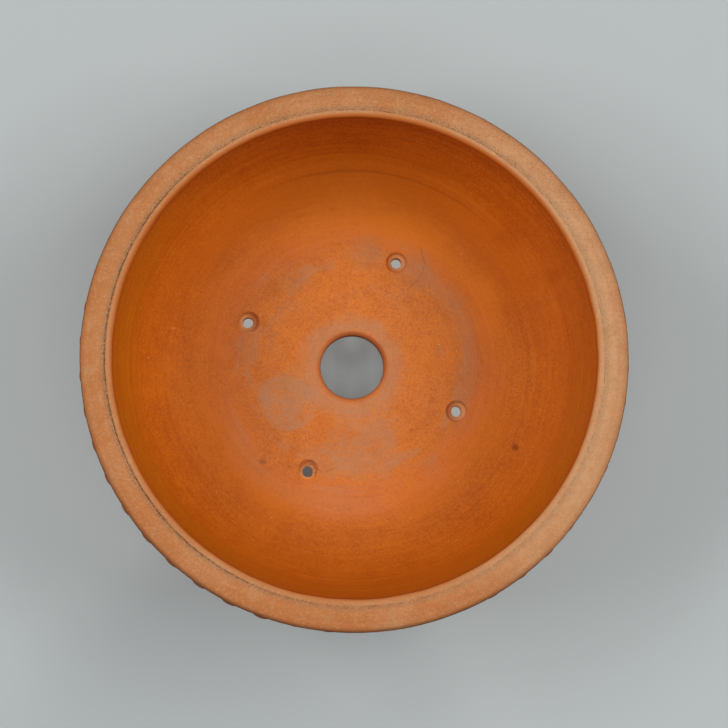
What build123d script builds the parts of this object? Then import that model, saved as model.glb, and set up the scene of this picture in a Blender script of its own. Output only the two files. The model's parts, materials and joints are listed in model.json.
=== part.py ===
from build123d import *
import math
import os

# A round, unglazed bonsai pot in orange-red clay: a bowed wall under a wide flat rim with a small bead
# round its mouth, a row of drum nails just under the rim and another near the base, and three cloud feet.
# The pot is fired as one, but each piece below is formed on its own and luted on with slip, so each is
# its own solid and only touches its neighbours.
# Millimetres, +Z up. The origin is on the ground, under the middle of the drain hole.

# Overall
rim_radius = 120.0  # outer edge of the rim
mouth_radius = 106.1  # clear opening inside the lip bead
height = 100.0
foot_height = 12.0
floor_thickness = 10.0

# Rim ring and lip bead
rim_depth = 9.0  # height of the ring of clay that makes the rim
rim_lip = 0.5  # how far the rim stands out over the wall
rim_edge_rounding = 4.2
rim_crown = 0.6  # rise of the rim's slightly rounded face over its two edges
bead_width = 3.0
bead_rounding = 1.4
bead_drop = 0.7  # the bead's crest below the rim's highest line
crease_rounding = 0.6

# Wall
wall_thickness = 11.9
nail_band = 13.0  # upright stretch of wall under the rim
bow_radius = 130.0  # curve of the inside, from the upright stretch down to the floor
cove_radius = 26.0  # inside corner between wall and floor
cove_toe_radius = 76.0  # where the wall piece ends and the floor slab begins
base_rounding = 3.0

# Floor holes
drain_radius = 15.0
drain_top_rounding = 1.6
drain_under_rounding = 1.0
wire_hole_radius = 2.5
wire_hole_flare_radius = 5.1
wire_hole_circle_radius = 53.75
wire_hole_count = 4
wire_hole_first_angle = 67.0

# Drum nails and the raised lines that edge their bands
nail_count = 49
nail_radius = 4.0
nail_height = 2.1
nail_first_angle = -118.5
nail_inset = 14.0  # middle of a row from the rim's top, or from the base
line_radius = 1.1
line_proud = 0.9
line_gap = 6.8  # from the middle of a row of nails to its line

# Cloud feet
foot_count = 3
foot_first_angle = -90.0
foot_top_width = 54.0
foot_sole_width = 38.0
foot_waist_height = 6.5  # where the hollow of each side turns into its lobe
foot_lobe = 3.0  # how far a lobe curls in, from its widest to the end of the sole
foot_notch_width = 12.0
foot_notch_height = 3.0
foot_inner_radius = 84.0
foot_splay = 1.5  # the foot's face leans in by this much towards the ground

# Worked out
floor_top = foot_height + floor_thickness
rim_bottom = height - rim_depth
bow_top = rim_bottom - nail_band
crease_radius = mouth_radius + bead_width
wall_outer_radius = rim_radius - rim_lip
wall_inner_radius = wall_outer_radius - wall_thickness
outer_bow_radius = bow_radius + wall_thickness


def bow_inset(bow, z):
    """How far a wall that curves with radius bow has come in at height z."""
    return bow - math.sqrt(bow**2 - (bow_top - z) ** 2)


def outside_at(z):
    """Radius of the wall's outer face at height z, and how far that face's normal dips, in degrees."""
    drop = max(bow_top - z, 0.0)
    radius = wall_outer_radius - (bow_inset(outer_bow_radius, z) if drop else 0.0)
    return radius, math.degrees(math.asin(drop / outer_bow_radius))


base_radius = outside_at(foot_height)[0]
inner_corner_radius = wall_inner_radius - bow_inset(bow_radius, floor_top)

os.makedirs("parts", exist_ok=True)

# Wall: a thrown ring with a broad cove inside its lower edge
with BuildPart() as pot_wall:
    with BuildSketch(Plane.XZ) as wall_section:
        with BuildLine():
            inner_bow_start = (wall_inner_radius, bow_top)
            corner = (inner_corner_radius, floor_top)
            toe = (cove_toe_radius, floor_top)
            toe_under = (cove_toe_radius, foot_height)
            heel = (base_radius, foot_height)
            outer_bow_start = (wall_outer_radius, bow_top)
            Line((wall_inner_radius, rim_bottom), inner_bow_start)
            RadiusArc(inner_bow_start, corner, bow_radius)
            Polyline(corner, toe, toe_under, heel)
            RadiusArc(heel, outer_bow_start, -outer_bow_radius)
            Polyline(
                outer_bow_start,
                (wall_outer_radius, rim_bottom),
                (wall_inner_radius, rim_bottom),
            )
        make_face()
        corners = wall_section.vertices()
        fillet(corners.sort_by_distance(Vector(*corner))[0], radius=cove_radius)
        corners = wall_section.vertices()
        fillet(corners.sort_by_distance(Vector(*heel))[0], radius=base_rounding)
    revolve(axis=Axis.Z)
pot_wall.part.label = "pot_wall"
export_step(pot_wall.part, "parts/pot_wall.step")

# Floor: a round slab inside the wall's toe, with a drain hole and four flared holes for tying wires
with BuildPart() as floor_slab:
    with BuildSketch(Plane.XY.offset(foot_height)):
        Circle(cove_toe_radius)
    extrude(amount=floor_thickness)
    with Locations((0, 0, floor_top)):
        Hole(drain_radius)
    upper_edges = floor_slab.edges().group_by(Axis.Z)[-1]
    fillet(upper_edges.sort_by(SortBy.RADIUS)[0], radius=drain_top_rounding)
    under_edges = floor_slab.edges().group_by(Axis.Z)[0]
    fillet(under_edges.sort_by(SortBy.RADIUS)[0], radius=drain_under_rounding)
    with Locations((0, 0, floor_top)):
        with PolarLocations(wire_hole_circle_radius, wire_hole_count, start_angle=wire_hole_first_angle):
            CounterSinkHole(wire_hole_radius, wire_hole_flare_radius, counter_sink_angle=90)
floor_slab.part.label = "floor_slab"
export_step(floor_slab.part, "parts/floor_slab.step")

# Rim: a flat ring on top of the wall, rounded at its outer edge
with BuildPart() as rim_ring:
    with BuildSketch(Plane.XZ) as rim_section:
        with BuildLine():
            outer_edge = (rim_radius, height - rim_crown)
            crown = ((rim_radius + crease_radius) / 2, height)
            inner_edge = (crease_radius, height - rim_crown)
            Polyline(
                inner_edge,
                (crease_radius, rim_bottom),
                (wall_outer_radius, rim_bottom),
                (rim_radius, rim_bottom + rim_lip),
                outer_edge,
            )
            ThreePointArc(outer_edge, crown, inner_edge)
        make_face()
        corners = rim_section.vertices()
        fillet(corners.sort_by_distance(Vector(*outer_edge))[0], radius=rim_edge_rounding)
        corners = rim_section.vertices()
        fillet(corners.sort_by_distance(Vector(*inner_edge))[0], radius=crease_rounding)
    revolve(axis=Axis.Z)
rim_ring.part.label = "rim_ring"
export_step(rim_ring.part, "parts/rim_ring.step")

# Bead: a thin coil pressed round the inside of the rim, which overhangs the wall a little
with BuildPart() as lip_bead:
    with BuildSketch(Plane.XZ) as bead_section:
        with BuildLine():
            Polyline(
                (mouth_radius, rim_bottom),
                (crease_radius, rim_bottom),
                (crease_radius, height - bead_drop),
                (mouth_radius, height - bead_drop),
                close=True,
            )
        make_face()
        crest = bead_section.vertices().group_by(Axis.Y)[-1]
        fillet(crest, radius=bead_rounding)
        underside = bead_section.vertices().group_by(Axis.Y)[0].sort_by(Axis.X)[0]
        fillet(underside, radius=bead_rounding)
    revolve(axis=Axis.Z)
lip_bead.part.label = "lip_bead"
export_step(lip_bead.part, "parts/lip_bead.step")

# Drum nails: flattened domes, each seated on the wall's outer face
nail_sphere_radius = (nail_radius**2 + nail_height**2) / (2 * nail_height)
nail_sunk = nail_sphere_radius - nail_height
nail_rows = {"upper_drum_nails": height - nail_inset, "lower_drum_nails": foot_height + nail_inset}

for row_name, row_height in nail_rows.items():
    face_radius, face_dip = outside_at(row_height)
    centre_radius = face_radius - nail_sunk * math.cos(math.radians(face_dip))
    centre_height = row_height + nail_sunk * math.sin(math.radians(face_dip))
    with BuildPart() as nail:
        with Locations((centre_radius, 0, centre_height)):
            Sphere(nail_sphere_radius)
        add(pot_wall.part, mode=Mode.SUBTRACT)
    with BuildPart() as nail_row:
        with PolarLocations(0, nail_count, start_angle=nail_first_angle):
            add(nail.part)
    nail_row.part.label = row_name
    export_step(nail_row.part, f"parts/{row_name}.step")

# Raised lines: a thin coil below the upper nails and another above the lower ones, flattened to the wall
raised_lines = {
    "upper_raised_line": height - nail_inset - line_gap,
    "lower_raised_line": foot_height + nail_inset + line_gap,
}

for line_name, line_height in raised_lines.items():
    coil_centre_radius = outside_at(line_height)[0] + line_proud - line_radius
    with BuildPart() as raised_line:
        with BuildSketch(Plane.XZ):
            with Locations((coil_centre_radius, line_height)):
                Circle(line_radius)
            add(wall_section.sketch_local, mode=Mode.SUBTRACT)
        revolve(axis=Axis.Z)
    raised_line.part.label = line_name
    export_step(raised_line.part, f"parts/{line_name}.step")

# Cloud feet: low brackets with hollowed sides and a notch between two lobes, set under the wall's edge
foot_outer_radius = base_radius - base_rounding
half_top = foot_top_width / 2
half_sole = foot_sole_width / 2
half_notch = foot_notch_width / 2

with BuildPart() as cloud_foot:
    with BuildSketch(Plane.YZ) as foot_front:
        with BuildLine():
            for side in (-1, 1):
                top_corner = (side * half_top, foot_height)
                hollow = (side * (half_sole + foot_lobe), foot_waist_height + 2)
                waist = (side * (half_sole + foot_lobe / 2), foot_waist_height)
                lobe = (side * (half_sole + foot_lobe / 3), foot_waist_height / 2)
                sole_end = (side * (half_sole - foot_lobe), 0)
                ThreePointArc(top_corner, hollow, waist)
                ThreePointArc(waist, lobe, sole_end)
                Line(sole_end, (side * half_notch, 0))
            Line((-half_top, foot_height), (half_top, foot_height))
            ThreePointArc((-half_notch, 0), (0, foot_notch_height), (half_notch, 0))
        make_face()
    extrude(amount=rim_radius)
    with BuildSketch(Plane.XZ) as foot_band:
        with BuildLine():
            Polyline(
                (foot_inner_radius, foot_height),
                (foot_outer_radius, foot_height),
                (foot_outer_radius - foot_splay, 0),
                (foot_inner_radius + foot_splay, 0),
                close=True,
            )
        make_face()
    revolve(axis=Axis.Z, mode=Mode.INTERSECT)

with BuildPart() as cloud_feet:
    with PolarLocations(0, foot_count, start_angle=foot_first_angle):
        add(cloud_foot.part)
cloud_feet.part.label = "cloud_feet"
export_step(cloud_feet.part, "parts/cloud_feet.step")
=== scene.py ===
import json
import math

import bmesh
import bpy
import numpy as np
from mathutils import Matrix, Vector, noise
from mathutils.geometry import delaunay_2d_cdt


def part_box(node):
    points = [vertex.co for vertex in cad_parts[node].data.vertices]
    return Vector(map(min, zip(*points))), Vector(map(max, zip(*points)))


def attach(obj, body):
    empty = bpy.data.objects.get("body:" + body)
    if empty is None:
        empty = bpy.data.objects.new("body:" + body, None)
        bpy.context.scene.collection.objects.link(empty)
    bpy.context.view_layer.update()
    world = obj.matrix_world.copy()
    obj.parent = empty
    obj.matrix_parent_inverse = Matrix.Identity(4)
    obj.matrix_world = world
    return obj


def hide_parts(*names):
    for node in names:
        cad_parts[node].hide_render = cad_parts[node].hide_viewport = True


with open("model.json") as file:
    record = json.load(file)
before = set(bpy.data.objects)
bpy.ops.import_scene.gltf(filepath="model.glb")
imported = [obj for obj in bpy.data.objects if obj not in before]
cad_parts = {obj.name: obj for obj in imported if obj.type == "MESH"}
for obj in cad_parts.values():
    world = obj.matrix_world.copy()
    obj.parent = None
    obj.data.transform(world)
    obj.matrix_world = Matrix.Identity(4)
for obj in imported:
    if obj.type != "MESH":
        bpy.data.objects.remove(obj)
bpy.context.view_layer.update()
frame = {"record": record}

# A round, unglazed drum-nail bonsai pot. Each CAD piece of clay is replaced by a finer mesh of the same
# size, with the slight unevenness of handwork, and clay materials built from nodes over the pot's own
# coordinates. Meshes and materials work in millimetres; objects are stored in metres.

M_PER_MM = 0.001
TAU = 2 * math.pi


def box_mm(node):
    """Lowest and highest corner of a CAD node, in millimetres."""
    low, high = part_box(node)
    return np.array(low) / M_PER_MM, np.array(high) / M_PER_MM


def mount_sizes(name):
    """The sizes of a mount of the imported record."""
    return next(m["dims"] for m in frame["record"]["mounts"] if m["name"] == name)


# ---- sizes, from the frame where it has them
rim_low, rim_high = box_mm("rim_ring")
bead_high = box_mm("lip_bead")[1]
wall_low, wall_high = box_mm("pot_wall")
slab_high = box_mm("floor_slab")[1]
wire_sizes = mount_sizes("wire_holes")

TOP = rim_high[2]
RIM_RADIUS = rim_high[0]
RIM_UNDER = rim_low[2]
CREASE_RADIUS = bead_high[0]
BEAD_CREST = bead_high[2]
BASE_HEIGHT = wall_low[2]
WALL_RADIUS = wall_high[0]
FLOOR_TOP = slab_high[2]
TOE_RADIUS = slab_high[0]
DRAIN_RADIUS = mount_sizes("drain_hole")["r_mm"]
WIRE_CIRCLE_RADIUS = wire_sizes["pcd_mm"] / 2
WIRE_HOLE_RADIUS = wire_sizes["hole_r_mm"]
WIRE_HOLE_COUNT = wire_sizes["count"]

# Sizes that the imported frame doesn't state, the same as in the part's source
BEAD_WIDTH = 3
BEAD_ROUNDING = 1.4
RIM_LIP = 0.5
RIM_EDGE_ROUNDING = 4.2
RIM_CROWN = 0.6
CREASE_ROUNDING = 0.6
WALL_THICKNESS = 11.9
NAIL_BAND = 13
BOW_RADIUS = 130
COVE_RADIUS = 26
BASE_ROUNDING = 3
DRAIN_TOP_ROUNDING = 1.6
DRAIN_UNDER_ROUNDING = 1
WIRE_FLARE_RADIUS = 5.1
WIRE_FIRST_ANGLE = 67
NAIL_COUNT = 49
NAIL_FIRST_ANGLE = -118.5
NAIL_RADIUS = 4
NAIL_HEIGHT = 2.1
LINE_RADIUS = 1.1
LINE_PROUD = 0.9
FOOT_COUNT = 3
FOOT_FIRST_ANGLE = -90
FOOT_TOP_WIDTH = 54
FOOT_SOLE_WIDTH = 38
FOOT_WAIST_HEIGHT = 6.5
FOOT_LOBE = 3
FOOT_NOTCH_WIDTH = 12
FOOT_NOTCH_HEIGHT = 3
FOOT_INNER_RADIUS = 84
FOOT_SPLAY = 1.5
FOOT_ROUNDING = 1.2  # here only: the CAD's feet are sharp

# Studio, in metres
GROUND_HALF = 4
CAMERA_HEIGHT = 0.9  # above the rim
CAMERA_ASIDE = (-0.0175, -0.0526)
CAMERA_TARGET = (0.00375, -0.0029)  # at the rim's height
SENSOR_MM = 36
SEEN_WIDTH = 1.3183  # width that the picture shows at the rim's height, against the rim's own
LAMPS = {  # place, size and power
    "right": ((1.25, 0.22, 1.45), (1.2, 0.6), 21.4),
    "left": ((-1.25, 0.22, 1.45), (1.2, 0.6), 21.4),
    "above": ((0, -0.45, 1.7), (0.9, 0.7), 6),
}

MOUTH_RADIUS = CREASE_RADIUS - BEAD_WIDTH
WALL_INNER_RADIUS = WALL_RADIUS - WALL_THICKNESS
BOW_TOP = RIM_UNDER - NAIL_BAND
BOW_CENTRE = WALL_INNER_RADIUS - BOW_RADIUS
OUTER_BOW_RADIUS = BOW_RADIUS + WALL_THICKNESS
WALL_TURNS = 600
RIM_TURNS = 1080

wire_angles = [math.radians(WIRE_FIRST_ANGLE) + TAU * k / WIRE_HOLE_COUNT for k in range(WIRE_HOLE_COUNT)]
WIRE_HOLES = [(WIRE_CIRCLE_RADIUS * math.cos(a), WIRE_CIRCLE_RADIUS * math.sin(a)) for a in wire_angles]
# How each wire hole's flare was cut: off centre by x and y, then its width against the nominal one
FLARES = [(0, 0.1, 0.96), (0.7, 0.3, 0.94), (0.3, 1.2, 0.86), (0, 0, 1)]
RAGGED_HOLE = 2  # the wire hole whose flare was cut in drying clay, and tore

# Waves round the pot, (waves, height, phase) each: the rim's radius, the rim's level, and the nails' places
OUT_OF_ROUND = [(2, 0.20, 0.1), (3, 0.07, 2.1), (5, 0.04, 4.4)]
UNEVEN_RIM = [(2, 0.10, 1.9), (3, 0.06, 0.3), (7, 0.03, 2.8), (11, 0.02, 5)]
NAIL_SPACING = [(1, 1.3, math.radians(140))]  # in degrees from even spacing
PRESSED_SIDE = -84  # the nails towards this angle were pressed flatter
MOUTH_OFFSET = (0.10, 0.42)  # how far the mouth lies from the rim's middle, along X and Y
MOUTH_STRETCH = (0.0005, -0.0061)  # and the share by which it is wider along each
DRAWN_FROM = 50  # height where the inside starts to lean over to it


# ---- shape: outlines and handwork
def smooth(t):
    """0 to 1 with flat ends."""
    t = np.clip(t, 0.0, 1.0)
    return t * t * (3 - 2 * t)


def soft_depth(t, softness):
    """0 below 0 and t above it, with the corner rounded over softness to each side."""
    rounded = (t + softness) ** 2 / (4 * softness)
    return np.where(t < -softness, 0.0, np.where(t > softness, t, rounded))


def line(start, end, step):
    """Points along a straight run, without its last one."""
    count = max(1, round(math.dist(start, end) / step))
    return [np.array(start) + (np.array(end) - np.array(start)) * k / count for k in range(count)]


def arc(centre, radius, start, end, step):
    """Points along an arc between two angles in degrees, without its last one."""
    start, end = math.radians(start), math.radians(end)
    count = max(1, math.ceil(abs(end - start) * radius / step))
    angles = [start + (end - start) * k / count for k in range(count)]
    return [np.array((centre[0] + radius * math.cos(a), centre[1] + radius * math.sin(a))) for a in angles]


def arc_through(start, middle, end, step):
    """Points along the arc through three points, without its last one."""
    (ax, ay), (bx, by), (cx, cy) = start, middle, end
    twice = 2 * (ax * (by - cy) + bx * (cy - ay) + cx * (ay - by))
    a2, b2, c2 = ax**2 + ay**2, bx**2 + by**2, cx**2 + cy**2
    x = (a2 * (by - cy) + b2 * (cy - ay) + c2 * (ay - by)) / twice
    y = (a2 * (cx - bx) + b2 * (ax - cx) + c2 * (bx - ax)) / twice
    first, last = math.atan2(ay - y, ax - x), math.atan2(cy - y, cx - x)
    turn = (last - first) % TAU
    if (math.atan2(by - y, bx - x) - first) % TAU > turn:
        turn -= TAU
    return arc((x, y), math.dist((x, y), start), math.degrees(first), math.degrees(first + turn), step)


def outside_at(z):
    """Radius of the wall's outer face at height z, and the dip of its normal, in radians."""
    dip = math.asin(max(BOW_TOP - z, 0.0) / OUTER_BOW_RADIUS)
    return BOW_CENTRE + OUTER_BOW_RADIUS * math.cos(dip), dip


def ripple(angle, terms):
    """A sum of waves round the pot: (waves, height, phase) each."""
    return sum(height * np.cos(waves * angle + phase) for waves, height, phase in terms)


def handmade(points):
    """Points moved as the potter's hands left them: a little out of round, the mouth off centre."""
    x, y, z = np.moveaxis(points, -1, 0)
    radius, angle = np.hypot(x, y), np.arctan2(y, x)
    high = smooth((z - FLOOR_TOP) / (TOP - FLOOR_TOP))
    inward = smooth((RIM_RADIUS - 1 - radius) / (RIM_RADIUS - 1 - CREASE_RADIUS))
    grow = 1 + (1 - inward) * high * ripple(angle, OUT_OF_ROUND) / np.maximum(radius, 1.0)
    lift = smooth((z - BOW_TOP) / (TOP - BOW_TOP)) * ripple(angle, UNEVEN_RIM)
    drawn = inward * smooth((z - DRAWN_FROM) / (RIM_UNDER - DRAWN_FROM))
    x = x * (grow + MOUTH_STRETCH[0] * drawn) + MOUTH_OFFSET[0] * drawn
    y = y * (grow + MOUTH_STRETCH[1] * drawn) + MOUTH_OFFSET[1] * drawn
    return np.stack([x, y, z + lift], axis=-1)


def lumps(points, size, height, seed):
    """Soft unevenness at points, in mm, from noise of one size."""
    flat = points.reshape(-1, 3) / size + seed
    values = np.array([noise.noise(Vector(p)) for p in flat])
    return height * values.reshape(points.shape[:-1])


# ---- meshes
def add_object(name, data):
    """A new object in the scene."""
    thing = bpy.data.objects.new(name, data)
    bpy.context.scene.collection.objects.link(thing)
    return thing


def piece(name, points, faces, nodes, material, sharp=40.0):
    """One visual piece of the pot, from points in millimetres."""
    mesh = bpy.data.meshes.new(name)
    mesh.from_pydata((np.asarray(points) * M_PER_MM).tolist(), [], faces)
    shape = bmesh.new()
    shape.from_mesh(mesh)
    if shape.calc_volume(signed=True) < 0:
        bmesh.ops.reverse_faces(shape, faces=shape.faces)
    shape.to_mesh(mesh)
    shape.free()
    mesh.polygons.foreach_set("use_smooth", [True] * len(mesh.polygons))
    mesh.set_sharp_from_angle(angle=math.radians(sharp))
    mesh.update()
    thing = add_object(name, mesh)
    mesh.materials.append(material)
    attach(thing, "root")
    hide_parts(*nodes)
    return thing


def loop_faces(loops, count, first=0, closed=False):
    """Quads between loops of count points, numbered from first, and from the last loop back if closed."""
    faces = []
    for j in range(loops if closed else loops - 1):
        here, there = first + j * count, first + (j + 1) % loops * count
        for i in range(count):
            k = (i + 1) % count
            faces.append((here + i, here + k, there + k, there + i))
    return faces


def lathe(outline, turns, finish):
    """Points and faces of a closed (radius, height) outline carried round the pot's axis, then finished."""
    outline = np.array(outline)
    angle = np.arange(turns) * TAU / turns
    radius, z = outline[:, 0], outline[:, 1]
    across = np.cos(angle)[:, None] * radius
    along = np.sin(angle)[:, None] * radius
    points = finish(np.stack([across, along, np.ones(turns)[:, None] * z], axis=-1))
    return handmade(points).reshape(-1, 3), loop_faces(turns, len(outline), closed=True)


def push_out(points, amount):
    """Points of a lathe grid moved along the surface's own normal by amount, in mm."""
    across = np.roll(points, -1, axis=1) - np.roll(points, 1, axis=1)
    along = np.roll(points, -1, axis=0) - np.roll(points, 1, axis=0)
    normal = np.cross(along, across)
    length = np.linalg.norm(normal, axis=-1, keepdims=True)
    return points + normal / np.maximum(length, 1e-9) * amount[..., None]


def ring(x, y, radius, count):
    """Places evenly spaced round a circle."""
    angle = np.arange(count) * TAU / count
    return np.stack([x + radius * np.cos(angle), y + radius * np.sin(angle)], axis=-1)


def hex_grid(low, high, step):
    """Places on a triangular grid that fills a rectangle."""
    rows = []
    for j, y in enumerate(np.arange(low[1], high[1], step * math.sqrt(3) / 2)):
        x = np.arange(low[0] + j % 2 * step / 2, high[0], step)
        rows.append(np.stack([x, np.full(len(x), y)], axis=-1))
    return np.concatenate(rows)


def fill(places, outline=0):
    """Triangles of the Delaunay mesh over places, or inside the outline that the first few of them make."""
    edges = [(i, (i + 1) % outline) for i in range(outline)]
    inside_only = 1 if outline else 0
    _, _, faces, origins, _, _ = delaunay_2d_cdt([Vector(p) for p in places], edges, [], inside_only, 1e-7)
    return [tuple(origins[i][0] for i in face) for face in faces]


# ---- materials
class Clay:
    """An unglazed clay, as layers of colour and height over the pot's coordinates in millimetres."""

    def __init__(self, name, colour):
        self.material = bpy.data.materials.new(name)
        self.material.use_nodes = True
        tree = self.material.node_tree
        self.nodes, self.links = tree.nodes, tree.links
        self.shader = self.nodes["Principled BSDF"]
        self.join(self.shader, Specular_IOR_Level=0.12)
        place = self.add("TexCoord").outputs["Object"]
        self.place = self.vector("SCALE", place, scale=1 / M_PER_MM)
        self.x, self.y, self.z = self.add("SeparateXYZ", self.place).outputs
        self.flat = self.vector("MULTIPLY", self.place, (1, 1, 0))
        self.radius = self.vector("LENGTH", self.flat)
        self.colour = colour
        self.height = 0
        self.roughness = 0.9

    def add(self, kind, *inputs, **settings):
        """A node with its first inputs linked or set, and its settings."""
        node = self.nodes.new("ShaderNode" + kind)
        for key, value in settings.items():
            setattr(node, key, value)
        for socket, value in zip(node.inputs, inputs):
            self.put(socket, value)
        return node

    def put(self, socket, value):
        """Links a socket, or sets its value, unless that is None."""
        if isinstance(value, bpy.types.NodeSocket):
            self.links.new(value, socket)
        elif value is not None:
            if socket.type == "RGBA" and len(value) == 3:
                value = (*value, 1)
            socket.default_value = value

    def join(self, node, **inputs):
        """Links or sets a node's inputs by name, with _ for a blank, and gives the node back."""
        for name, value in inputs.items():
            self.put(node.inputs[name.replace("_", " ")], value)
        return node

    def math(self, operation, a, b=None, c=None):
        """The result of a sum on one to three values."""
        return self.add("Math", a, b, c, operation=operation).outputs[0]

    def vector(self, operation, a, b=None, scale=None):
        """The result of a sum on one or two vectors."""
        node = self.add("VectorMath", a, b, None, scale, operation=operation)
        return node.outputs["Value" if operation in ("LENGTH", "DISTANCE", "DOT_PRODUCT") else "Vector"]

    def noise(self, size, detail=2, rough=0.5, place=None, seed=0):
        """Noise from 0 to 1 with features about size mm across."""
        place = self.vector("ADD", self.place if place is None else place, (seed * 37, seed * 53, seed * 71))
        node = self.add("TexNoise")
        return self.join(node, Vector=place, Scale=1 / size, Detail=detail, Roughness=rough).outputs["Fac"]

    def wheel(self, around):
        """Coordinates that stretch noise along the turn of the wheel; larger around, shorter streaks."""
        turn = self.vector("SCALE", self.vector("NORMALIZE", self.flat), scale=around)
        climb = self.add("CombineXYZ", 0, 0, self.math("ADD", self.radius, self.z)).outputs[0]
        return self.vector("ADD", turn, climb)

    def span(self, value, low, high, to_low=0, to_high=1):
        """Value from low to high taken smoothly to to_low and to_high, and held beyond."""
        settings = {"interpolation_type": "SMOOTHSTEP", "clamp": True}
        return self.add("MapRange", value, low, high, to_low, to_high, **settings).outputs[0]

    def both(self, *masks):
        """The product of masks."""
        result = masks[0]
        for mask in masks[1:]:
            result = self.math("MULTIPLY", result, mask)
        return result

    def wander(self, value, amount, size, seed):
        """Value, moved up to about amount each way by noise."""
        bend = self.math("SUBTRACT", self.noise(size, 3, seed=seed), 0.5)
        return self.math("MULTIPLY_ADD", bend, 2 * amount, value)

    def near(self, value, middle, width):
        """1 at middle, falling smoothly to 0 at width from it."""
        away = self.math("ABSOLUTE", self.math("SUBTRACT", value, middle))
        return self.span(away, 0, width, 1, 0)

    def away(self, x, y):
        """Distance from the upright line over (x, y)."""
        return self.vector("DISTANCE", self.flat, (x, y, 0))

    def spot(self, x, y, radius, edge, wander=0, size=6, seed=0):
        """1 inside a round patch about (x, y), 0 outside, over an edge that noise makes wander."""
        away = self.away(x, y)
        if wander:
            away = self.wander(away, wander, size, seed)
        return self.span(away, radius - edge / 2, radius + edge / 2, 1, 0)

    def toward(self, degrees, from_cosine, to_cosine, x=0, y=0):
        """1 on the side of (x, y) that lies towards an angle, 0 on the other, by the cosine from it."""
        side = (math.cos(math.radians(degrees)), math.sin(math.radians(degrees)), 0)
        arm = self.vector("NORMALIZE", self.vector("SUBTRACT", self.flat, (x, y, 0)))
        return self.span(self.vector("DOT_PRODUCT", arm, side), from_cosine, to_cosine)

    def curved_line(self, x, y, radius, width, toward, cosine, wander, seed):
        """A fine uneven line on part of the circle about (x, y): 1 along it, 0 off it."""
        away = self.wander(self.away(x, y), wander, 3, seed)
        return self.both(self.near(away, radius, width), self.toward(toward, cosine, cosine + 0.15, x, y))

    def tint(self, mask, colour, strength=1):
        """Takes the colour towards another where the mask is 1, or where all of a tuple of masks are."""
        if isinstance(mask, tuple):
            mask = self.both(*mask)
        if strength != 1:
            mask = self.math("MULTIPLY", mask, strength)
        node = self.add("Mix", mask, data_type="RGBA")
        self.put(node.inputs[6], self.colour)
        self.put(node.inputs[7], colour)
        self.colour = node.outputs[2]
        return self

    def lift(self, mask, mm):
        """Raises the surface by mm where the mask is 1, or lowers it if mm is negative."""
        self.height = self.math("MULTIPLY_ADD", mask, mm, self.height)
        return self

    def roughen(self, mask, roughness):
        """Takes the roughness towards another where the mask is 1."""
        node = self.add("Mix", mask, data_type="FLOAT")
        self.put(node.inputs[2], self.roughness)
        self.put(node.inputs[3], roughness)
        self.roughness = node.outputs[0]
        return self

    def done(self):
        """The material, with its layers joined to the shader."""
        bump = self.join(self.add("Bump"), Distance=M_PER_MM, Height=self.height).outputs[0]
        self.join(self.shader, Base_Color=self.colour, Roughness=self.roughness, Normal=bump)
        return self.material


def rgb(red, green, blue):
    """A linear colour from display values of 0 to 255."""
    shares = (value / 255 for value in (red, green, blue))
    return tuple(((share + 0.055) / 1.055) ** 2.4 if share > 0.0393 else share / 12.92 for share in shares)


INSIDE = rgb(190, 96, 10)
INSIDE_DARK = rgb(150, 62, 6)
INSIDE_PALE = rgb(212, 116, 24)
OCHRE = rgb(186, 108, 4)
FLOOR = rgb(190, 112, 56)
BLOOM = rgb(163, 122, 92)
PINK = rgb(205, 109, 56)
RIM = rgb(172, 109, 62)
RIM_DARK = rgb(158, 92, 50)
RIM_PALE = rgb(191, 149, 110)
OUTSIDE = rgb(168, 92, 46)
OUTSIDE_DARK = rgb(124, 62, 28)
OUTSIDE_PALE = rgb(192, 128, 82)
GRIME_AND_SHADE = rgb(88, 70, 54)
GRIME_PALE = rgb(140, 116, 90)
RIM_WARM = rgb(172, 102, 54)
OLIVE = rgb(158, 118, 78)
EDGE_DARK = rgb(86, 48, 26)
BEAD_SHADE = rgb(168, 88, 34)
DARK_BROWN = rgb(112, 48, 12)
SAND_AND_LIGHT_PALE = rgb(224, 172, 118)

# Painted light and shade of the inside, with a few hue tints: towards which angle, middle radius, width,
# colour and strength
PAINTED_LIGHT_AND_TINTS = [
    (90, 82, 30, INSIDE_PALE, 0.42),
    (-90, 106, 20, INSIDE_PALE, 0.40),
    (0, 102, 24, OUTSIDE, 0.25),
    (45, 88, 20, INSIDE_DARK, 0.38),
    (135, 88, 20, INSIDE_DARK, 0.24),
    (45, 70, 14, INSIDE_PALE, 0.45),
    (150, 70, 14, INSIDE_PALE, 0.25),
    (90, 69, 13, INSIDE_PALE, 0.28),
    (-135, 71, 14, INSIDE_PALE, 0.38),
    (-45, 71, 14, INSIDE_PALE, 0.24),
    (0, 71, 13, INSIDE_PALE, 0.24),
    (-90, 36, 12, INSIDE_DARK, 0.18),
    (125, 88, 14, INSIDE, 0.45),
    (55, 88, 14, INSIDE, 0.45),
]
# Stains of the floor: the values of Clay.spot, colour, strength, and whether the patch is ragged
FLOOR_PATCHES = [
    ((-31, -17, 13.5, 3, 4, 11, 51), BLOOM, 0.52, True),
    ((-29, -7.5, 6, 8, 6, 7, 52), GRIME_PALE, 0.22, False),
    ((6, -35, 16, 10, 8, 12, 53), BLOOM, 0.46, True),
    ((-11, -44, 9, 9, 8, 9, 54), BLOOM, 0.32, True),
    ((7, 54, 7, 9, 6, 8, 57), GRIME_PALE, 0.32, True),
    ((30, 46, 8, 12, 8, 9, 58), GRIME_PALE, 0.26, True),
    ((-27, 41, 5, 7, 5, 8, 59), GRIME_PALE, 0.20, True),
]


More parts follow.
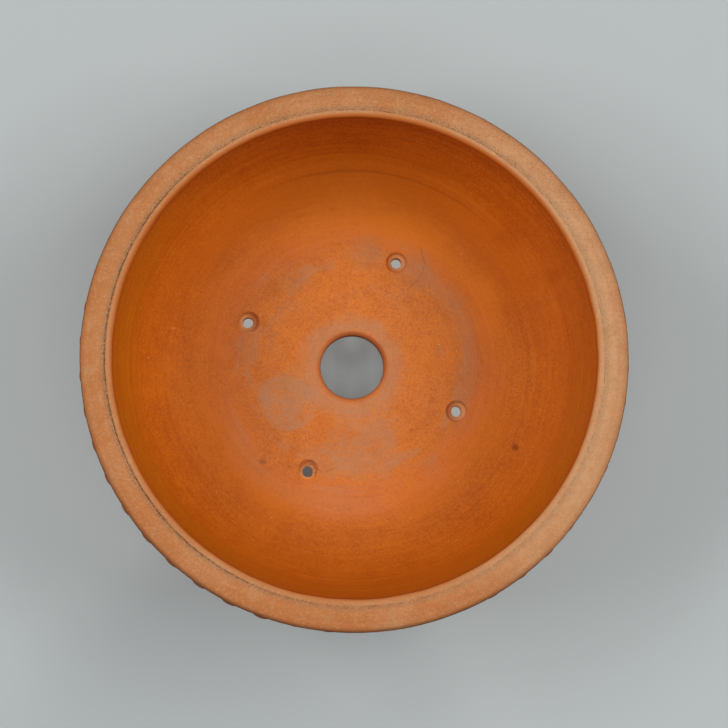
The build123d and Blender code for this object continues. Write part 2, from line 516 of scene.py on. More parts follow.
def sandy(clay, dark, pale, grain=1):
    """The fine grain, specks and soft mottling that all of the pot's clay has."""
    fine = clay.noise(0.62, 2, 0.7)
    sand = clay.noise(1.4, 2, 0.6, seed=3)
    mottle = clay.noise(8, 4, 0.65, seed=5)
    cloud = clay.noise(40, 3, 0.55, seed=8)
    for texture, low, high, colour, strength in (
        (fine, 0.46, 0.66, dark, 0.42),
        (fine, 0.46, 0.30, pale, 0.42),
        (sand, 0.50, 0.68, pale, 0.30),
        (sand, 0.44, 0.30, dark, 0.26),
    ):
        clay.tint((clay.span(texture, low, high), grain), colour, strength)
    for texture, low, high, colour, strength in (
        (mottle, 0.46, 0.68, dark, 0.20),
        (mottle, 0.50, 0.30, pale, 0.16),
        (cloud, 0.45, 0.65, pale, 0.16),
        (clay.noise(1.8, 1, seed=21), 0.76, 0.82, SAND_AND_LIGHT_PALE, 0.45),
        (clay.noise(2.1, 1, seed=23), 0.75, 0.82, DARK_BROWN, 0.45),
    ):
        clay.tint(clay.span(texture, low, high), colour, strength)
    clay.lift(clay.both(fine, grain), 0.08).lift(clay.both(sand, grain), 0.10).lift(mottle, 0.10)
    clay.roughen(clay.span(mottle, 0.4, 0.7), 0.82)
    return clay


def streaked(clay, dark, pale, strength=1):
    """Fine lines round the pot, left by the wheel."""
    fine = clay.noise(0.9, 2, 0.6, place=clay.wheel(2.5), seed=11)
    broad = clay.noise(3.4, 2, 0.5, place=clay.wheel(2.5), seed=13)
    clay.tint((clay.span(fine, 0.45, 0.72), strength), dark, 0.22)
    clay.tint((clay.span(broad, 0.5, 0.75), strength), pale, 0.16)
    clay.tint((clay.span(broad, 0.5, 0.28), strength), dark, 0.14)
    clay.lift(clay.both(fine, strength), 0.06).lift(clay.both(broad, strength), 0.12)
    return clay


def inside_clay(clay):
    """The clay of the inside, the same on the wall and the floor so that their joint doesn't show."""
    clay.tint(clay.span(clay.wander(clay.radius, 6, 30, 30), 104, 56), FLOOR)
    sandy(clay, INSIDE_DARK, INSIDE_PALE, clay.span(clay.z, 35, 80, 1.15, 2.4))
    streaked(clay, INSIDE_DARK, INSIDE_PALE, clay.span(clay.radius, 40, 90, 0.35, 1))
    # Pinker clay in arcs over the cove, partly a painted highlight where the cove faces the lamps, and pale
    # bloom in arcs, where the floor was wiped on the wheel
    arcs = clay.noise(9, 4, 0.6, place=clay.wheel(16), seed=31)
    across = clay.wander(clay.radius, 6, 26, 32)
    clay.tint((clay.near(across, 64, 14), clay.span(arcs, 0.36, 0.60, 0.35, 1)), PINK, 0.50)
    clay.tint((clay.near(across, 52, 22), clay.span(arcs, 0.52, 0.64)), BLOOM, 0.34)
    clay.tint((clay.near(across, 56, 8), clay.toward(14, 0.55, 0.95)), BLOOM, 0.26)
    clay.tint((clay.near(across, 66, 9), clay.toward(-118, 0.60, 0.95)), BLOOM, 0.26)
    # More ochre up the wall, then painted light and shade, with a few hue tints, towards an angle about a
    # radius
    clay.tint((clay.span(clay.z, 30, 50), clay.toward(-110, -0.9, 0.1)), OCHRE, 0.50)
    for degrees, middle, width, colour, strength in PAINTED_LIGHT_AND_TINTS:
        toward = clay.toward(degrees, 0.70, 1)
        clay.tint((clay.near(across, middle, width), toward), colour, strength)
    clay.tint(clay.spot(73, 62, 6, 8, 5, 5, 33), INSIDE_DARK, 0.25)
    clay.tint(clay.spot(93, 42, 3, 4, 3, 4, 34), INSIDE_DARK, 0.25)
    clay.tint(clay.spot(77, -38, 1.6, 1.6, 0.8, 2, 35), DARK_BROWN, 0.6)
    line_dark = clay.curved_line(0, 0.4, 92.2, 0.8, 80, 0.78, 0.5, 37)
    line_pale = clay.curved_line(0, 0.4, 95.5, 1.2, 80, 0.70, 0.5, 38)
    clay.tint(line_dark, DARK_BROWN, 0.26).lift(line_dark, -0.08)
    clay.tint(line_pale, INSIDE_PALE, 0.25)
    return clay


def outer_skin(clay, mask):
    """Covers the clay, where the mask is 1, with the browner and duller skin of the pot's outside."""
    inner_colour = clay.colour
    clay.colour = OUTSIDE
    streaked(clay, OUTSIDE_DARK, OUTSIDE_PALE, 0.6)
    clay.tint(clay.span(clay.noise(24, 4, 0.6, seed=41), 0.45, 0.7), OUTSIDE_DARK, 0.35)
    clay.tint(clay.span(clay.noise(10, 4, 0.6, seed=42), 0.5, 0.75), OUTSIDE_PALE, 0.35)
    outer_colour = clay.colour
    clay.colour = inner_colour
    return clay.tint(mask, outer_colour)


def body_clay():
    """The wall's clay: the inside's, and the outer skin where the pot turns out and under."""
    clay = Clay("clay_wall", INSIDE)
    inside_clay(clay)
    outer = clay.span(clay.radius, 109.2, 109.8)
    under = clay.span(clay.z, BASE_HEIGHT + 0.5, BASE_HEIGHT + 0.1)
    skin = clay.math("MAXIMUM", outer, under)
    low = clay.span(clay.z, 30, 34, 1, 0)
    skin = clay.math("MAXIMUM", skin, clay.both(low, clay.span(clay.radius, 99, 101)))
    outer_skin(clay, skin)
    return clay.done()


def floor_clay():
    """The floor's clay: the inside's, with bloom, painted shade at the edges of the holes, painted light
    inside the flares, and fine cracks.
    """
    clay = Clay("clay_floor", INSIDE)
    inside_clay(clay)
    # Pale bloom where water stood, and a scrubbed ring round the drain
    ragged = clay.span(clay.noise(5, 4, 0.65, seed=50), 0.34, 0.58, 0.35, 1)
    for place, colour, strength, is_ragged in FLOOR_PATCHES:
        patch = clay.spot(*place)
        clay.tint((patch, ragged) if is_ragged else patch, colour, strength)
    clay.tint(clay.near(clay.wander(clay.radius, 5, 9, 55), 19.5, 9), BLOOM, 0.48)
    # Painted shade over the drain's rounded edge, darkest on the side towards 65°, and painted shade down its
    # bore
    clay.tint(clay.span(clay.radius, DRAIN_RADIUS + 3, DRAIN_RADIUS + 0.6), INSIDE_DARK, 0.36)
    shaded_edge = clay.both(clay.near(clay.radius, DRAIN_RADIUS + 0.8, 1.8), clay.toward(65, 0, 0.9))
    clay.tint(shaded_edge, DARK_BROWN, 0.50)
    turned_down = clay.span(clay.z, FLOOR_TOP - 0.7, FLOOR_TOP - 1.6)
    at_drain = clay.span(clay.radius, DRAIN_RADIUS + 1.2, DRAIN_RADIUS + 0.3)
    clay.tint((at_drain, turned_down), GRIME_AND_SHADE, 0.55)
    # A smudge, and flares with a dark brown painted shade on their edge, most towards 110°, and painted light
    # inside
    clay.tint(clay.spot(-42, -44.5, 1.4, 2.4, 2.6, 2.4, 56), GRIME_AND_SHADE, 0.5)
    for k, (x, y) in enumerate(WIRE_HOLES):
        off_x, off_y, wide = FLARES[k]
        flare = wide * WIRE_FLARE_RADIUS
        edge = clay.near(clay.wander(clay.away(x + off_x, y + off_y), 0.3, 1.5, 60 + k), flare - 0.4, 1.1)
        clay.tint((edge, clay.toward(110, -1.4, 0.6, x + off_x, y + off_y)), DARK_BROWN, 0.45)
        clay.tint(clay.spot(x, y, flare - 0.9, 1), SAND_AND_LIGHT_PALE, 0.30)
    # Hairline cracks beside two of the wire holes
    (up_x, up_y), (low_x, low_y) = WIRE_HOLES[0], WIRE_HOLES[RAGGED_HOLE]
    cracks = [
        clay.curved_line(up_x, up_y, 13.2, 0.28, -15, 0.55, 1, 71),
        clay.curved_line(up_x + 1, up_y, 14.5, 0.28, -118, 0.86, 1, 72),
        clay.curved_line(low_x + 8, low_y + 6, 6.2, 0.36, -90, 0.62, 0.9, 73),
        clay.curved_line(low_x - 6.5, low_y + 6.5, 4.6, 0.36, -80, 0.40, 0.9, 74),
    ]
    gaps = clay.span(clay.noise(2.2, 2, 0.6, seed=75), 0.36, 0.54)
    for crack in cracks:
        crack = clay.both(crack, gaps)
        clay.tint(crack, DARK_BROWN, 0.30).lift(crack, -0.14)
    outer_skin(clay, clay.span(clay.z, BASE_HEIGHT + 1.5, BASE_HEIGHT + 0.5))
    return clay.done()


def mouth_distance(clay):
    """Distance from the middle of the mouth, as if the mouth were round."""
    round_mouth = clay.vector("MULTIPLY", clay.flat, (1 - MOUTH_STRETCH[0], 1 - MOUTH_STRETCH[1], 0))
    return clay.vector("DISTANCE", round_mouth, (*MOUTH_OFFSET, 0))


def crease_marks(clay):
    """Dirt in the crease between the rim and the bead: a deep line on one side, pits and specks elsewhere."""
    from_mouth = mouth_distance(clay)
    uneven = clay.wander(from_mouth, 0.45, 3, 81)
    deep = clay.toward(-170, 0.25, 0.85)
    kept = clay.span(clay.toward(-15, 0.10, 0.80), 0, 1, 1, 0.45)
    broken = clay.span(clay.noise(4, 3, 0.6, seed=82), 0.40, 0.58)
    gaps = clay.span(clay.noise(1.3, 2, 0.6, seed=85), 0.38, 0.56)
    clay.tint(clay.near(clay.wander(from_mouth, 0.6, 6, 86), CREASE_RADIUS + 0.8, 2.6), GRIME_PALE, 0.22)
    deep_line = clay.near(uneven, CREASE_RADIUS + 0.1, 0.75)
    clay.tint((deep_line, deep, clay.span(gaps, 0, 1, 0.15, 1)), GRIME_AND_SHADE, 0.60)
    clay.tint((clay.near(uneven, CREASE_RADIUS + 0.15, 0.55), broken, gaps, kept), GRIME_AND_SHADE, 0.34)
    pits = clay.span(clay.noise(0.7, 2, 0.6, seed=83), 0.54, 0.66)
    band = clay.both(clay.near(clay.wander(from_mouth, 0.9, 8, 84), CREASE_RADIUS + 0.6, 1.8), kept)
    clay.tint((pits, band), GRIME_AND_SHADE, 0.30).lift(clay.both(pits, band), -0.16)
    return clay


def rim_clay():
    """The rim's clay: dry and pale on one side, warmer on the other, browner round its edge, with painted
    shade on that edge towards -105°.
    """
    clay = Clay("clay_rim", RIM)
    clay.tint(clay.toward(0, 0.1, 1), RIM_PALE, 0.65)
    clay.tint(clay.toward(-108, 0.2, 0.9), RIM_WARM, 0.6)
    outer_part = clay.near(clay.radius, RIM_RADIUS - 2.5, 5)
    clay.tint((outer_part, clay.noise(30, 2, seed=91)), RIM_DARK, 0.5)
    clay.tint(clay.span(clay.noise(11, 4, 0.6, seed=93), 0.48, 0.66), OLIVE, 0.26)
    sandy(clay, RIM_DARK, RIM_PALE, 0.8)
    streaked(clay, RIM_DARK, RIM_PALE, 0.35)
    specks = clay.span(clay.noise(0.8, 2, 0.6, seed=96), 0.56, 0.66)
    clay.tint((specks, clay.toward(80, 0, 0.9)), GRIME_AND_SHADE, 0.38)
    crease_marks(clay)
    edge = clay.wander(clay.radius, 0.25, 6, 92)
    clay.tint(clay.span(edge, RIM_RADIUS - 2.8, RIM_RADIUS - 0.8), OUTSIDE, 0.20)
    # Painted shade on the outer edge, on the side towards -105°; darker still in a band at the edge's widest
    edge_shade_side = clay.toward(-105, 0.30, 0.95)
    clay.tint((clay.span(edge, RIM_RADIUS - 2.4, RIM_RADIUS - 0.7), edge_shade_side), EDGE_DARK, 0.45)
    widest = clay.near(clay.wander(clay.z, 0.5, 7, 94), RIM_UNDER + 4.9, 2.6)
    clay.tint((clay.span(edge, RIM_RADIUS - 1.1, RIM_RADIUS - 0.3), widest), EDGE_DARK, 0.85)
    return clay.done()


def bead_clay():
    """The bead's clay: rubbed pale on top, and the inside's orange where it turns down, with painted shade
    there: a warmer, darker inner half, most towards 90°, and darker again down its inner face.
    """
    clay = Clay("clay_bead", rgb(176, 115, 70))
    clay.tint(clay.toward(0, 0.1, 1), RIM_PALE, 0.5)
    sandy(clay, RIM_DARK, RIM_PALE, 0.7)
    crease_marks(clay)
    # Painted shade where the bead turns down to the mouth: warmer and darker on its inner half, most on the
    # side towards 90°
    warm = clay.span(clay.toward(-10, 0.10, 0.90), 0, 1, 0.7, 0.3)
    from_mouth = mouth_distance(clay)
    inner_part = clay.span(from_mouth, CREASE_RADIUS - 1, MOUTH_RADIUS + 0.6)
    clay.tint((inner_part, warm), RIM_WARM)
    inner_half = clay.span(from_mouth, CREASE_RADIUS - 0.8, MOUTH_RADIUS + 0.6)
    clay.tint((inner_half, clay.toward(90, -0.1, 0.7)), BEAD_SHADE, 0.8)
    clay.tint(clay.span(clay.z, BEAD_CREST - 0.4, BEAD_CREST - 1.3), INSIDE)
    # Painted shade down the bead's inner face, under its crest
    clay.tint(clay.span(clay.z, BEAD_CREST - 1.5, BEAD_CREST - 4), INSIDE_DARK, 0.4)
    return clay.done()


def shaded_trim_clay():
    """The clay of the nails and raised lines, painted darker for the shade they sit in under the rim."""
    clay = Clay("clay_trim", rgb(126, 75, 44))
    sandy(clay, OUTSIDE_DARK, OUTSIDE_PALE)
    return clay.done()


def foot_clay():
    """The feet's clay, worn pale at the soles and dark where they meet the wall."""
    clay = Clay("clay_foot", OUTSIDE)
    sandy(clay, OUTSIDE_DARK, OUTSIDE_PALE)
    clay.tint(clay.span(clay.wander(clay.z, 0.8, 4, 95), 1.6, 0.4), OUTSIDE_PALE, 0.6)
    clay.tint(clay.span(clay.z, BASE_HEIGHT - 1.6, BASE_HEIGHT - 0.2), OUTSIDE_DARK, 0.5)
    return clay.done()


# ---- the pieces
def rounding_at(height, bow, rounding):
    """The radius at which a rounding inside a bow has its centre, and the angle where the two meet."""
    reach, drop = bow - rounding, BOW_TOP - height
    return BOW_CENTRE + math.sqrt(reach**2 - drop**2), -math.degrees(math.asin(drop / reach))


def wall():
    """The wall: inside bow and cove, foot, outside bow."""
    cove_height, heel_height = FLOOR_TOP + COVE_RADIUS, BASE_HEIGHT + BASE_ROUNDING
    cove_centre, cove_angle = rounding_at(cove_height, BOW_RADIUS, COVE_RADIUS)
    heel_centre, heel_angle = rounding_at(heel_height, OUTER_BOW_RADIUS, BASE_ROUNDING)
    inner = (
        line((WALL_INNER_RADIUS, RIM_UNDER), (WALL_INNER_RADIUS, BOW_TOP), 1)
        + arc((BOW_CENTRE, BOW_TOP), BOW_RADIUS, 0, cove_angle, 1)
        + arc((cove_centre, cove_height), COVE_RADIUS, cove_angle, -90, 0.8)
        + line((cove_centre, FLOOR_TOP), (TOE_RADIUS, FLOOR_TOP), 0.8)
    )
    under = line((TOE_RADIUS, FLOOR_TOP), (TOE_RADIUS, BASE_HEIGHT), BASE_HEIGHT) + line(
        (TOE_RADIUS, BASE_HEIGHT), (heel_centre, BASE_HEIGHT), 3
    )
    outer = (
        arc((heel_centre, heel_height), BASE_ROUNDING, -90, heel_angle, 0.8)
        + arc((BOW_CENTRE, BOW_TOP), OUTER_BOW_RADIUS, heel_angle, 0, 1.6)
        + line((WALL_RADIUS, BOW_TOP), (WALL_RADIUS, RIM_UNDER), 1.6)
    )
    over = line((WALL_RADIUS, RIM_UNDER), (WALL_INNER_RADIUS, RIM_UNDER), WALL_THICKNESS)
    outline = inner + under + outer + over

    # Points of the outline from one line to the next
    throwing_gap, slow_gap, scraping_gap = 4.6, 11, 7.3

    def finish(points):
        """Throwing lines that climb round the inside, and faint scraping marks on the outside."""
        angle = np.arctan2(points[..., 1], points[..., 0])
        run = np.arange(len(outline))
        inside = smooth(run / 8) * smooth((len(inner) - run) / 8)
        first, last = len(inner) + len(under), len(outline) - 1
        outside = smooth((run - first) / 6) * smooth((last - run) / 6)
        slow = lumps(points, 30, 1, 7)
        throwing = 0.07 * np.sin(TAU * run / throwing_gap + angle + 2.5 * slow) * (0.6 + slow)
        throwing += 0.05 * np.sin(TAU * run / slow_gap - angle + 3 * slow)
        soft = lumps(points, 22, 0.35, 3)
        scraping = 0.05 * np.sin(TAU * run / scraping_gap + 2 * slow)
        return push_out(points, -inside * (throwing + soft) - outside * (scraping + soft))

    points, faces = lathe(outline, WALL_TURNS, finish)
    return piece("thrown_wall", points, faces, ["pot_wall"], body_clay())


def floor_heights(places):
    """Heights of the floor's upper and under face over places on it."""
    x, y = places[:, 0], places[:, 1]
    radius, angle = np.hypot(x, y), np.arctan2(y, x)
    level = smooth((TOE_RADIUS - radius) / 8)
    at = np.stack([x, y, np.zeros(len(x))], axis=-1)
    waves = 0.05 * np.sin(TAU * radius / 4.8 + angle) + 0.04 * np.sin(TAU * radius / 11 - angle)
    upper = FLOOR_TOP + level * (waves + lumps(at, 22, 0.40, 3) + lumps(at, 7, 0.06, 4))
    under = BASE_HEIGHT + level * (0.4 * waves + lumps(at, 18, 0.25, 5))

    def edge_drop(rounding):
        """How far an edge of the drain, rounded by so much, falls away."""
        inside = np.clip(DRAIN_RADIUS + rounding - radius, 0, rounding)
        return rounding - np.sqrt(rounding**2 - inside**2)

    upper -= edge_drop(DRAIN_TOP_ROUNDING)
    under += edge_drop(DRAIN_UNDER_ROUNDING)
    for k, (hole_x, hole_y) in enumerate(WIRE_HOLES):
        off_x, off_y, wide = FLARES[k]
        away = np.hypot(x - hole_x - off_x, y - hole_y - off_y)
        flare = wide * WIRE_FLARE_RADIUS
        burr = 0.05
        if k == RAGGED_HOLE:
            torn = lumps(at, 1.3, 1, 9)
            flare = flare + 1.1 * torn
            burr = 0.40 * np.clip(0.4 + torn + 0.5 * (y - hole_y) / WIRE_FLARE_RADIUS, 0, 1)
        upper -= np.minimum(soft_depth(flare - away, 0.35), 5)
        upper += burr * np.exp(-(((away - flare - 0.5) / 0.55) ** 2))
    return upper, under


def floor():
    """The floor slab: its drain hole, its four flared wire holes and the soft unevenness between them."""
    drain_steps = (0, 0.08, 0.3, 0.65, 1.1, 1.7, 2.4, 3.2)
    wire_steps = (0, 0.2, 0.45, 0.8, 1.2, 1.6, 2, 2.35, 2.7, 3.1, 3.6, 4.2)
    drain_rings = [ring(0, 0, DRAIN_RADIUS + step, 180) for step in drain_steps]
    wire_rings = [[ring(x, y, WIRE_HOLE_RADIUS + step, 44) for step in wire_steps] for x, y in WIRE_HOLES]
    rim = ring(0, 0, TOE_RADIUS, WALL_TURNS)
    grid = hex_grid((-TOE_RADIUS, -TOE_RADIUS), (TOE_RADIUS, TOE_RADIUS), 1.1)
    radius = np.hypot(grid[:, 0], grid[:, 1])
    clear = (radius < TOE_RADIUS - 0.8) & (radius > DRAIN_RADIUS + drain_steps[-1] + 0.7)
    for x, y in WIRE_HOLES:
        clear &= np.hypot(grid[:, 0] - x, grid[:, 1] - y) > WIRE_HOLE_RADIUS + wire_steps[-1] + 0.6
    loops = [(rim, 1), (drain_rings[0], 7)] + [(rings[0], 9) for rings in wire_rings]
    rest = drain_rings[1:] + [r for rings in wire_rings for r in rings[1:]] + [grid[clear]]
    places = np.concatenate([places for places, _ in loops] + rest)
    holes = [(0, 0, DRAIN_RADIUS)] + [(x, y, WIRE_HOLE_RADIUS) for x, y in WIRE_HOLES]
    triangles = []
    for face in fill(places):
        middle = places[list(face)].mean(axis=0)
        if all(math.dist(middle, (x, y)) > r * 0.999 for x, y, r in holes):
            triangles.append(face)
    upper, under = floor_heights(places)
    count = len(places)
    points = [np.column_stack([places, upper]), np.column_stack([places, under])]
    faces = triangles + [tuple(count + i for i in reversed(face)) for face in triangles]
    used = 2 * count
    first = 0
    for loop, rows in loops:
        ids = [np.arange(first, first + len(loop))]
        for row in range(1, rows):
            t = row / rows
            z = upper[ids[0]] * (1 - t) + under[ids[0]] * t
            points.append(np.column_stack([loop, z]))
            ids.append(np.arange(used, used + len(loop)))
            used += len(loop)
        ids.append(ids[0] + count)
        inward = -1 if first else 1
        for above, below in zip(ids, ids[1:]):
            quads = np.column_stack([above, below, np.roll(below, -1), np.roll(above, -1)])[:, ::inward]
            faces += [tuple(map(int, quad)) for quad in quads]
        first += len(loop)
    points = handmade(np.concatenate(points))
    return piece("holed_floor", points, faces, ["floor_slab"], floor_clay(), 50)


def slip_in_crease(points):
    """Points beside the crease raised where slip fills it, so that it is deep only on one side."""
    x, y, z = np.moveaxis(points, -1, 0)
    radius, angle = np.hypot(x, y), np.arctan2(y, x)
    deep = smooth((np.cos(angle - math.radians(-168)) - 0.2) / 0.6)
    uneven = lumps(points * (1, 1, 0), 2.6, 0.30, 13) + lumps(points * (1, 1, 0), 9, 0.15, 17)
    filled = np.clip(0.92 - 0.24 * deep + uneven, 0, 0.99)
    level = BEAD_CREST - 0.05
    beside = smooth(2.2 - np.abs(radius - CREASE_RADIUS) / 0.8)
    gap = np.clip(level - z, 0, None)
    top_side = (z > BEAD_CREST - BEAD_ROUNDING - 0.1) & (radius > MOUTH_RADIUS + BEAD_ROUNDING)
    return np.stack([x, y, np.where(top_side, z + gap * filled * beside, z)], axis=-1)


def rim():
    """The wide rim, slightly rounded across its face and well rounded at its outer edge."""
    edge = RIM_RADIUS - RIM_EDGE_ROUNDING
    inner_edge = CREASE_RADIUS + CREASE_ROUNDING
    edge_height = TOP - RIM_CROWN
    crown_middle = (edge + inner_edge) / 2
    half = edge - crown_middle
    crown_radius = (half**2 + RIM_CROWN**2) / (2 * RIM_CROWN)
    spread = math.degrees(math.asin(half / crown_radius))
    outline = (
        line((CREASE_RADIUS, RIM_UNDER), (WALL_RADIUS, RIM_UNDER), 3)
        + line((WALL_RADIUS, RIM_UNDER), (RIM_RADIUS, RIM_UNDER + RIM_LIP), 1)
        + line((RIM_RADIUS, RIM_UNDER + RIM_LIP), (RIM_RADIUS, edge_height - RIM_EDGE_ROUNDING), 0.8)
        + arc((edge, edge_height - RIM_EDGE_ROUNDING), RIM_EDGE_ROUNDING, 0, 90, 0.5)
        + arc((crown_middle, TOP - crown_radius), crown_radius, 90 - spread, 90 + spread, 0.4)
        + arc((inner_edge, edge_height - CREASE_ROUNDING), CREASE_ROUNDING, 90, 180, 0.15)
        + line((CREASE_RADIUS, edge_height - CREASE_ROUNDING), (CREASE_RADIUS, RIM_UNDER), 1.5)
    )

    def finish(points):
        above = smooth((points[..., 2] - RIM_UNDER - 1) / 3)
        return slip_in_crease(push_out(points, -above * lumps(points, 14, 0.16, 12)))

    points, faces = lathe(outline, RIM_TURNS, finish)
    return piece("rim_face", points, faces, ["rim_ring"], rim_clay())


def bead():
    """The thin bead round the mouth."""
    shoulder = BEAD_CREST - BEAD_ROUNDING
    inner = MOUTH_RADIUS + BEAD_ROUNDING
    outline = (
        line((CREASE_RADIUS, RIM_UNDER), (CREASE_RADIUS, shoulder), 1)
        + arc((CREASE_RADIUS - BEAD_ROUNDING, shoulder), BEAD_ROUNDING, 0, 90, 0.2)
        + arc((inner, shoulder), BEAD_ROUNDING, 90, 180, 0.25)
        + line((MOUTH_RADIUS, shoulder), (MOUTH_RADIUS, RIM_UNDER + BEAD_ROUNDING), 0.6)
        + arc((inner, RIM_UNDER + BEAD_ROUNDING), BEAD_ROUNDING, 180, 270, 0.4)
        + line((inner, RIM_UNDER), (CREASE_RADIUS, RIM_UNDER), 2)
    )

    def finish(points):
        free = smooth(CREASE_RADIUS - 0.4 - np.hypot(points[..., 0], points[..., 1]))
        return slip_in_crease(push_out(points, -free * lumps(points, 9, 0.22, 14)))

    points, faces = lathe(outline, RIM_TURNS, finish)
    return piece("mouth_bead", points, faces, ["lip_bead"], bead_clay())


def raised_line(node, material):
    """A thin coil laid round the wall."""
    low, high = box_mm(node)
    middle = (low[2] + high[2]) / 2
    radius = outside_at(middle)[0] + LINE_PROUD - LINE_RADIUS
    outline = arc((radius, middle), LINE_RADIUS, 0, 360, 0.4)

    def finish(points):
        return push_out(points, -lumps(points, 6, 0.16, 16))

    points, faces = lathe(outline, 720, finish)
    return piece(node.replace("raised_line", "coil_line"), points, faces, [node], material)


def nails(node, material, seed):
    """A row of drum nails, each a low dome pressed on by hand with a little slip round its foot."""
    low, high = box_mm(node)
    height = (low[2] + high[2]) / 2
    face_radius, dip = outside_at(height)
    rng = np.random.default_rng(seed)
    sides, rings = 32, 10
    points, faces = [], []
    for k in range(NAIL_COUNT):
        even = math.radians(NAIL_FIRST_ANGLE + 360 * k / NAIL_COUNT)
        angle = even + math.radians(ripple(even, NAIL_SPACING) + rng.normal(0, 0.10))
        z = height + rng.normal(0, 0.12)
        wide = NAIL_RADIUS * (1 + rng.normal(0, 0.025))
        pressed = smooth((math.cos(angle - math.radians(PRESSED_SIDE)) - 0.88) / 0.08)
        tall = NAIL_HEIGHT * (1 + rng.normal(0, 0.05)) * (0.86 - 0.28 * pressed)
        oval, lean = rng.normal(0, 0.03), rng.uniform(0, TAU)
        out = np.array((math.cos(angle) * math.cos(dip), math.sin(angle) * math.cos(dip), -math.sin(dip)))
        side = np.array((-math.sin(angle), math.cos(angle), 0))
        up = np.cross(out, side)
        seat = np.array((face_radius * math.cos(angle), face_radius * math.sin(angle), z))
        first = len(points)
        for i in range(rings + 1):
            t = i / rings
            spread = wide * (1.06 if i == 0 else math.cos(t * math.pi / 2) ** 0.85)
            rise = -0.4 if i == 0 else tall * math.sin(t * math.pi / 2) ** 0.95
            for j in range(sides if i < rings else 1):
                turn = TAU * j / sides
                reach = spread * (1 + oval * math.cos(2 * (turn - lean))) if i < rings else 0
                points.append(seat + out * rise + reach * (side * math.cos(turn) + up * math.sin(turn)))
        faces += loop_faces(rings, sides, first)
        crest = first + rings * sides
        last = crest - sides
        faces += [(last + j, last + (j + 1) % sides, crest) for j in range(sides)]
        faces.append(tuple(first + j for j in reversed(range(sides))))
    points = handmade(np.array(points))
    return piece(node.replace("drum_nails", "nail_row"), points, faces, [node], material, 60)


def foot_outline():
    """A foot's front outline, (along, height), from its top corner round its sole and back."""
    half_sole = FOOT_SOLE_WIDTH / 2
    step = 0.6
    right = [
        (FOOT_TOP_WIDTH / 2, BASE_HEIGHT),
        (half_sole + FOOT_LOBE, FOOT_WAIST_HEIGHT + 2),  # in the hollow
        (half_sole + FOOT_LOBE / 2, FOOT_WAIST_HEIGHT),
        (half_sole + FOOT_LOBE / 3, FOOT_WAIST_HEIGHT / 2),  # on the lobe
        (half_sole - FOOT_LOBE, 0),
        (FOOT_NOTCH_WIDTH / 2, 0),
    ]
    left = [(-along, height) for along, height in right]
    return np.array(
        arc_through(*left[:3], step)
        + arc_through(*left[2:5], step)
        + line(*left[4:], step)
        + arc_through(left[5], (0, FOOT_NOTCH_HEIGHT), right[5], step)
        + line(*right[:3:-1], step)
        + arc_through(*right[4:1:-1], step)
        + arc_through(*right[2::-1], step)
        + line(right[0], left[0], 2 * step)
    )


def feet():
    """Three low feet, their outlines softened and their front and back faces rounded at the edge."""
    outline = foot_outline()
    for _ in range(3):
        near = (np.roll(outline, 1, axis=0) + np.roll(outline, -1, axis=0)) / 2
        held = outline[:, 1:] > BASE_HEIGHT - 0.01
        outline = np.where(held, outline, (outline + near) / 2)
    along = np.roll(outline, -1, axis=0) - np.roll(outline, 1, axis=0)
    inward = np.column_stack([-along[:, 1], along[:, 0]])
    inward /= np.linalg.norm(inward, axis=1, keepdims=True)
    softened = inward * np.clip((BASE_HEIGHT - outline[:, 1:]) / 4, 0, 1)
    outer_radius = outside_at(BASE_HEIGHT)[0] - BASE_ROUNDING
    width = outer_radius - FOOT_INNER_RADIUS

    def place(spots, depth, angle):
        """Points of a foot at spots (along, height), depth in from its outer face."""
        lean = FOOT_SPLAY * (1 - spots[:, 1] / BASE_HEIGHT)
        reach = outer_radius - depth - lean * (1 - 2 * depth / width)
        x, y = np.sqrt(reach**2 - spots[:, 0] ** 2), spots[:, 0]
        c, s = math.cos(angle), math.sin(angle)
        return np.column_stack([x * c - y * s, x * s + y * c, spots[:, 1]])

    def inside_by(spot, edge):
        """How far a spot lies inside the edge outline."""
        gap = spot - edge
        nearest = int(np.argmin((gap**2).sum(axis=1)))
        return float(np.dot(gap[nearest], inward[nearest]))

    bend = [math.radians(angle) for angle in (0, 22.5, 45, 67.5, 90)]
    rounded = [(FOOT_ROUNDING * (1 - math.sin(a)), FOOT_ROUNDING * (1 - math.cos(a))) for a in bend]
    through = [(FOOT_ROUNDING + (width - 2 * FOOT_ROUNDING) * k / 8, 0) for k in range(1, 8)]
    rows = rounded[::-1] + through + [(width - depth, inset) for depth, inset in rounded]
    face_edge = outline + softened * FOOT_ROUNDING
    grid = hex_grid(face_edge.min(axis=0), face_edge.max(axis=0), 1.4)
    extra = np.array([spot for spot in grid if inside_by(spot, face_edge) > 0.7])
    spots = np.concatenate([face_edge, extra])
    count = len(outline)
    triangles = fill(spots, count)
    body = len(rows) * count
    last = body - count
    behind = last + len(extra)
    points, faces = [], []
    for k in range(FOOT_COUNT):
        angle = math.radians(FOOT_FIRST_ANGLE + 360 * k / FOOT_COUNT)
        start = k * (body + 2 * len(extra))
        points += [place(outline + softened * inset, depth, angle) for depth, inset in rows]
        points += [place(extra, 0, angle), place(extra, width, angle)]
        faces += loop_faces(len(rows), count, start)
        for face in triangles:
            faces.append(tuple(start + (i if i < count else body + i - count) for i in reversed(face)))
            faces.append(tuple(start + (last + i if i < count else behind + i) for i in face))
    points = np.concatenate(points)
    free = smooth(points[:, 2] / 2) * smooth((BASE_HEIGHT - points[:, 2]) / 2)
    outward = points * (1, 1, 0) / np.hypot(points[:, 0], points[:, 1])[:, None]
    points += outward * (free * lumps(points, 6, 0.35, 18))[:, None]
    return piece("bracket_feet", points, faces, ["cloud_feet"], foot_clay(), 50)


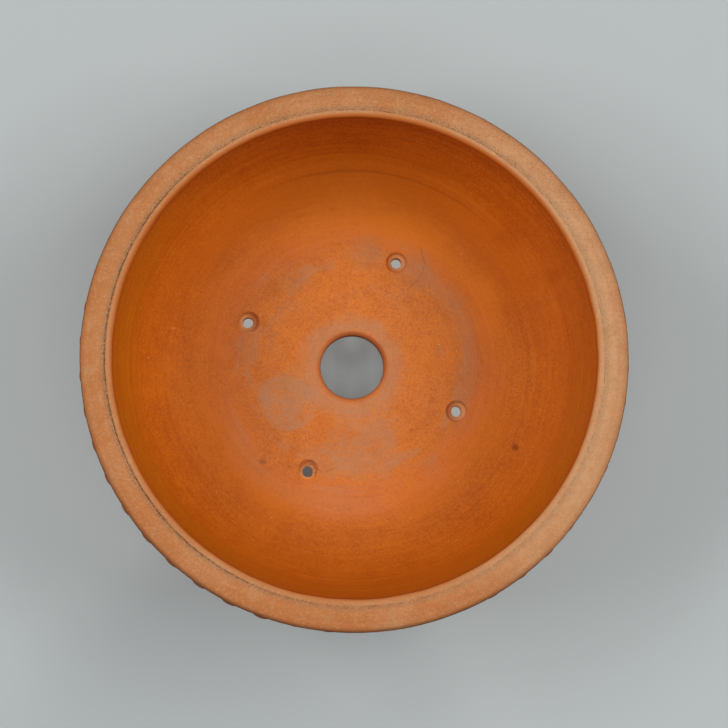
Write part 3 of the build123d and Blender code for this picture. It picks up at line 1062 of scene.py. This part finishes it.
# ---- stage, lights and camera
def studio_paper():
    """The ground's pale paper. A little light of its own evens out the shade under the pot."""
    paper = Clay("studio_paper", (0.348, 0.372, 0.374))
    from_edge = paper.span(paper.radius, 20, 46, 0.07, 1)
    outside = paper.span(paper.radius, 62, 100, 1, 0.2)
    behind_foot = paper.both(paper.toward(-105, 0.75, 0.97), paper.span(paper.radius, 25, 45))
    shade = paper.span(behind_foot, 0, 1, 1, 0.25)
    # The lamps leave the patch that shows through the drain darker in its middle and towards both Y ends
    unlit = paper.math("MULTIPLY", paper.near(paper.x, 0, 8), 0.17)
    unlit = paper.math("MULTIPLY_ADD", paper.span(paper.y, 4, 16), 0.24, unlit)
    unlit = paper.math("MULTIPLY_ADD", paper.span(paper.y, -3, -14), 0.18, unlit)
    under_drain = paper.span(paper.radius, 30, 20)
    glow = paper.both(from_edge, outside, shade)
    strength = paper.math("MULTIPLY_ADD", unlit, under_drain, glow)
    paper.join(paper.shader, Emission_Color=(0.325, 0.345, 0.335), Emission_Strength=strength)
    paper.tint(paper.noise(60, 3, seed=99), (0.325, 0.348, 0.350), 0.5)
    return paper.done()


def studio():
    """A plain pale floor, a soft light on each side, a weaker one above, and an even sky."""
    mesh = bpy.data.meshes.new("studio_floor")
    corners = [(x * GROUND_HALF, y * GROUND_HALF, 0) for x, y in ((-1, -1), (1, -1), (1, 1), (-1, 1))]
    mesh.from_pydata(corners, [], [(0, 1, 2, 3)])
    ground = add_object("studio_floor", mesh)
    mesh.materials.append(studio_paper())

    world = bpy.data.worlds.new("studio")
    bpy.context.scene.world = world
    world.use_nodes = True
    sky = world.node_tree.nodes["Background"]
    sky.inputs["Color"].default_value = (0.98, 1, 1, 1)
    sky.inputs["Strength"].default_value = 0.23

    middle = Vector((0, 0, TOP * M_PER_MM / 2))
    for name, (place, size, power) in LAMPS.items():
        lamp = bpy.data.lights.new(name, "AREA")
        lamp.shape = "RECTANGLE"
        lamp.size, lamp.size_y = size
        lamp.energy = power
        thing = add_object(name, lamp)
        thing.location = place
        thing.rotation_euler = (middle - Vector(place)).to_track_quat("-Z", "Y").to_euler()


def camera():
    """The camera, looking down into the mouth from a little towards -Y."""
    lens = bpy.data.cameras.new("camera")
    lens.sensor_width = SENSOR_MM
    lens.lens = SENSOR_MM * CAMERA_HEIGHT / (SEEN_WIDTH * 2 * RIM_RADIUS * M_PER_MM)
    thing = add_object("camera", lens)
    top = TOP * M_PER_MM
    thing.location = (*CAMERA_ASIDE, top + CAMERA_HEIGHT)
    back = (thing.location - Vector((*CAMERA_TARGET, top))).normalized()
    right = Vector((0, 1, 0)).cross(back).normalized()
    up = back.cross(right)
    thing.rotation_euler = Matrix((right, up, back)).transposed().to_euler()
    bpy.context.scene.camera = thing


camera()
studio()
wall()
floor()
rim()
bead()
feet()
trim = shaded_trim_clay()
for row_seed, row in enumerate(("upper_drum_nails", "lower_drum_nails")):
    nails(row, trim, 20 + row_seed)
for node_name in ("upper_raised_line", "lower_raised_line"):
    raised_line(node_name, trim)

bpy.context.scene.view_settings.view_transform = "Standard"
